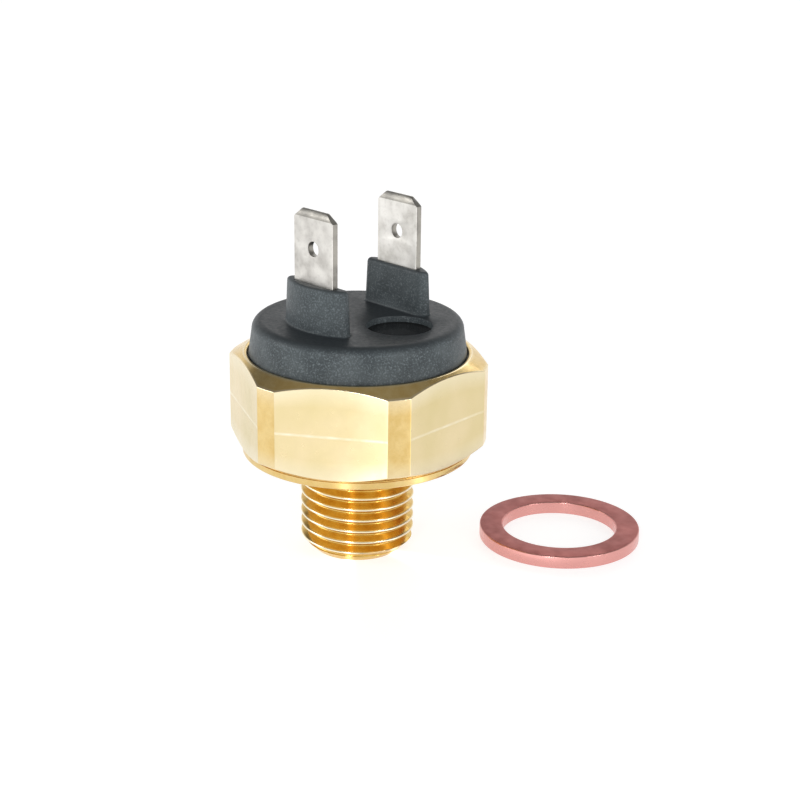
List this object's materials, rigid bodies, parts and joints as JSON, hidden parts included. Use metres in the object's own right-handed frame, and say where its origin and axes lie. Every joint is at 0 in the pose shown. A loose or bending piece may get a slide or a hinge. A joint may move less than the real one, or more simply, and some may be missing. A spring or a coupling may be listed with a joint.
{
  "type": "pressure switch",
  "caption": "Brass screw-in pressure switch with a hexagon body, a crimped black head with two tab terminals, and a loose copper sealing washer.",
  "frame": {"origin": "on the screw axis, in the plane of the sealing face under the collar", "axes": "+Z along the screw axis, away from the thread; X along the width of the tabs; Y from the left tab to the right one"},
  "size_m": [0.0385, 0.0434, 0.0411],
  "materials": {
    "brass_body": "turned, satin",
    "black_plastic": "moulded, fine grain",
    "tinned_tab": "tinned brass, dull",
    "resin": "poured resin, glossy",
    "copper": "annealed copper, satin",
    "seal_rubber": "moulded rubber",
    "plain_steel": "pressed, zinc plated",
    "spring_steel": "rolled spring steel",
    "guide_plastic": "phenolic, moulded",
    "ceramic_pin": "ground",
    "bronze_leaf": "rolled phosphor bronze",
    "silver": "silver contact face",
    "rivet_brass": "turned brass"
  },
  "bodies": {
    "housing": {"hex_body": "brass_body", "diaphragm_seal": "seal_rubber", "diaphragm": "seal_rubber", "snap_disc": "spring_steel", "disc_ring": "plain_steel", "pin_guide": "guide_plastic", "head_seal": "seal_rubber", "terminal_head": "black_plastic", "terminal_blade_left": "tinned_tab", "terminal_blade_right": "tinned_tab", "arm_rivet": "rivet_brass", "fixed_strip": "bronze_leaf", "fixed_contact": "silver", "strip_rivet": "rivet_brass", "screw_insert": "rivet_brass", "calibration_screw": "plain_steel", "screw_seal": "resin"},
    "thrust_plate": {"thrust_plate": "plain_steel"},
    "push_pin": {"push_pin": "ceramic_pin"},
    "contact_arm": {"contact_arm": "bronze_leaf", "moving_contact": "silver"},
    "sealing_washer": {"sealing_washer": "copper"}
  },
  "joints": [
    {"name": "thrust_plate_slide", "type": "slide", "parent": "housing", "child": "thrust_plate", "axis": [0, 0, 1], "range_m": [0, 0.00025], "stiffness_N_per_m": 4000, "deforming": ["diaphragm", "snap_disc"]},
    {"name": "push_pin_slide", "type": "slide", "parent": "housing", "child": "push_pin", "axis": [0, 0, 1], "range_m": [0, 0.00025]},
    {"name": "contact_arm_bend", "type": "hinge", "parent": "housing", "child": "contact_arm", "pos_m": [0, -0.0039, 0.0123], "axis": [1, 0, 0], "range_deg": [0, 3.67]},
    {"name": "washer_lift", "type": "slide", "parent": "housing", "child": "sealing_washer", "axis": [0, 0, 1], "range_m": [0, 0.008]}
  ],
  "couplings": [
    {"joint": "push_pin_slide", "follows": "thrust_plate_slide", "ratio": 1},
    {"joint": "contact_arm_bend", "follows": "thrust_plate_slide", "rad_per_m": 256.41}
  ]
}
